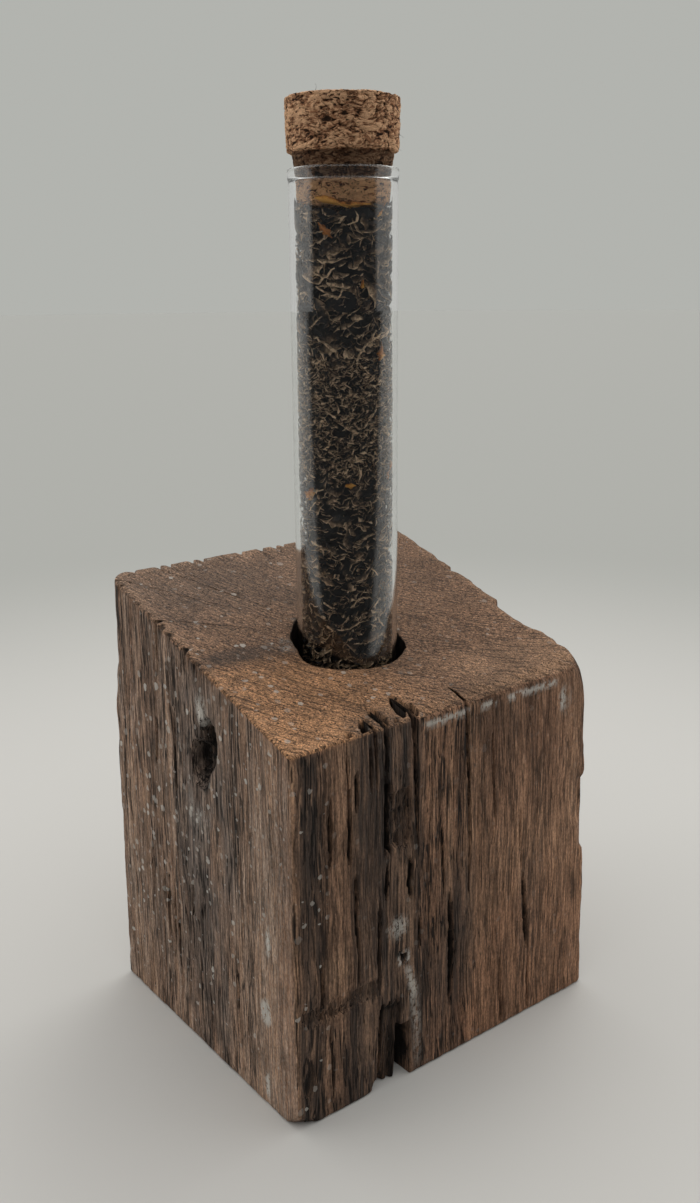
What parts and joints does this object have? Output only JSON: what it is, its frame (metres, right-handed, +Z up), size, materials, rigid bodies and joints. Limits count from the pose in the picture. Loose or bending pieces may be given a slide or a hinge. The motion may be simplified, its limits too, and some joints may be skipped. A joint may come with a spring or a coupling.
{
  "type": "test tube vase",
  "caption": "Corked glass test tube filled with loose leaf tea, standing in a socket bored into a block of reclaimed oak with a sloping sawn top.",
  "frame": {"origin": "centre of the block's foot, on the table", "axes": "+X along the cracked front face from the nearest corner, +Y from the front towards the high back edge of the sloping top, +Z up along the tube"},
  "size_m": [0.0976, 0.0838, 0.229],
  "materials": {
    "oak": "weathered reclaimed oak, rough sawn, a thin dull sheen",
    "glass": "clear, polished, fire-polished lip",
    "cork": "agglomerated cork, matt and pitted",
    "tea": "dried rolled leaf, matt",
    "leaf": "dried leaf, slightly waxy",
    "stalk": "dried stalk, matt",
    "petal": "dried yellow and orange petal, matt"
  },
  "bodies": {
    "block": {"wood_block": "oak"},
    "tube": {"glass_tube": "glass", "leaf_fill": "tea", "yellow_petal_top": "petal", "yellow_petal_side": "petal", "orange_petal_upper": "petal", "orange_petal_mid": "petal", "orange_petal_right": "petal", "orange_petal_left": "petal", "orange_petal_low": "petal", "yellow_fleck": "petal", "yellow_petal_back": "petal", "orange_petal_back": "petal", "tea_bud": "leaf", "tea_leaf_1": "leaf", "tea_leaf_2": "leaf", "tea_leaf_3": "leaf", "tea_leaf_4": "leaf", "tea_leaf_5": "leaf", "tea_leaf_6": "leaf", "tea_leaf_7": "leaf", "tea_leaf_8": "leaf", "tea_leaf_9": "leaf", "tea_leaf_10": "leaf", "tea_leaf_11": "leaf", "tea_leaf_12": "leaf", "tea_leaf_13": "leaf", "tea_leaf_14": "leaf", "tea_leaf_15": "leaf", "tea_leaf_16": "leaf", "tea_leaf_17": "leaf", "tea_leaf_18": "leaf", "tea_leaf_19": "leaf", "tea_leaf_20": "leaf", "tea_leaf_21": "leaf", "tea_leaf_22": "leaf", "tea_leaf_23": "leaf", "tea_leaf_24": "leaf", "tea_leaf_25": "leaf", "tea_leaf_26": "leaf", "tea_leaf_27": "leaf", "tea_leaf_28": "leaf", "tea_leaf_29": "leaf", "tea_stalk_1": "stalk", "tea_stalk_2": "stalk", "tea_stalk_3": "stalk", "tea_stalk_4": "stalk", "tea_stalk_5": "stalk", "tea_stalk_6": "stalk", "tea_stalk_7": "stalk", "tea_stalk_8": "stalk", "tea_stalk_9": "stalk", "tea_stalk_10": "stalk"},
    "stopper": {"cork_stopper": "cork"}
  },
  "joints": [
    {"name": "tube_lift", "type": "slide", "parent": "block", "child": "tube", "axis": [0, 0, 1], "range_m": [0, 0.05]},
    {"name": "stopper_pull", "type": "slide", "parent": "tube", "child": "stopper", "axis": [0, 0, 1], "range_m": [0, 0.03]}
  ]
}
